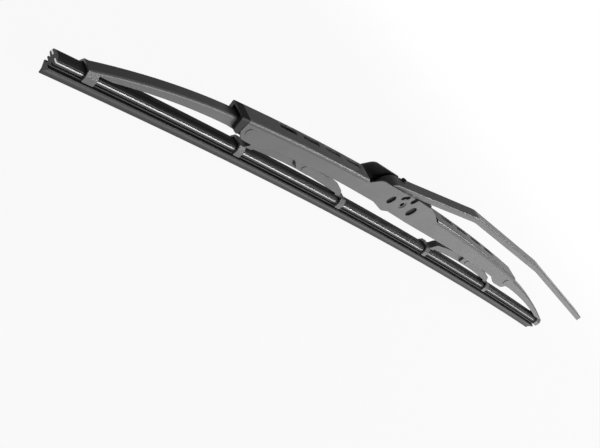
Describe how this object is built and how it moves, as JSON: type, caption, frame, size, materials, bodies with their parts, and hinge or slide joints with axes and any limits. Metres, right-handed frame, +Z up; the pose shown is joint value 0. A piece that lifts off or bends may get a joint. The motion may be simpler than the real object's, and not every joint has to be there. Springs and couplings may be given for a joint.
{
  "type": "windscreen wiper blade",
  "caption": "Long slim framed wiper blade: arched steel levers hold a rubber strip in claws, with a wind-slotted main lever and the hooked end of its flat arm.",
  "frame": {"origin": "centre of the pivot pin's bore, in the blade's middle plane", "axes": "+X along the blade, towards the side the arm comes from; +Y along the pivot pin; +Z up, away from the glass, which lies about 33 mm below the origin"},
  "size_m": [0.59, 0.0148, 0.061],
  "materials": {
    "lever_paint": "semi-gloss dark grey paint",
    "arm_paint": "satin dark grey paint",
    "black_plastic": "matte moulded",
    "bright_steel": "rolled strip",
    "black_rubber": "graphite coated rubber"
  },
  "bodies": {
    "arm": {"wiper_arm": "arm_paint", "adapter": "black_plastic"},
    "lever": {"main_lever": "lever_paint", "pivot_pin": "lever_paint", "left_collar": "black_plastic", "right_collar": "black_plastic", "left_main_rivet": "lever_paint", "right_main_rivet": "lever_paint", "rubber_strip": "black_rubber", "spine_near": "bright_steel", "spine_far": "bright_steel"},
    "left_bow": {"left_bow": "lever_paint", "left_bow_bush": "black_plastic", "left_yoke_rivet": "lever_paint"},
    "right_bow": {"right_bow": "lever_paint", "right_bow_bush": "black_plastic", "right_yoke_rivet": "lever_paint"},
    "left_yoke": {"left_yoke": "lever_paint"},
    "right_yoke": {"right_yoke": "lever_paint"}
  },
  "joints": [
    {"name": "blade_pivot", "type": "hinge", "parent": "arm", "child": "lever", "pos_m": [0, 0, 0], "axis": [0, 1, 0], "range_deg": [-2.8, 30]},
    {"name": "left_bow_flex", "type": "hinge", "parent": "lever", "child": "left_bow", "pos_m": [-0.148, 0, -0.01], "axis": [0, 1, 0], "range_deg": [-3, 3], "stiffness_Nm_per_rad": 3, "deforming": ["rubber_strip", "spine_near", "spine_far"]},
    {"name": "right_bow_flex", "type": "hinge", "parent": "lever", "child": "right_bow", "pos_m": [0.176, 0, -0.01], "axis": [0, 1, 0], "range_deg": [-3, 3]},
    {"name": "left_yoke_flex", "type": "hinge", "parent": "left_bow", "child": "left_yoke", "pos_m": [-0.09025, 0, -0.01367], "axis": [0, 1, 0], "range_deg": [-3, 3]},
    {"name": "right_yoke_flex", "type": "hinge", "parent": "right_bow", "child": "right_yoke", "pos_m": [0.11825, 0, -0.01367], "axis": [0, 1, 0], "range_deg": [-3, 3]}
  ],
  "couplings": [
    {"joint": "right_bow_flex", "follows": "left_bow_flex", "ratio": -1},
    {"joint": "left_yoke_flex", "follows": "left_bow_flex", "ratio": -0.402},
    {"joint": "right_yoke_flex", "follows": "left_bow_flex", "ratio": 0.402}
  ]
}
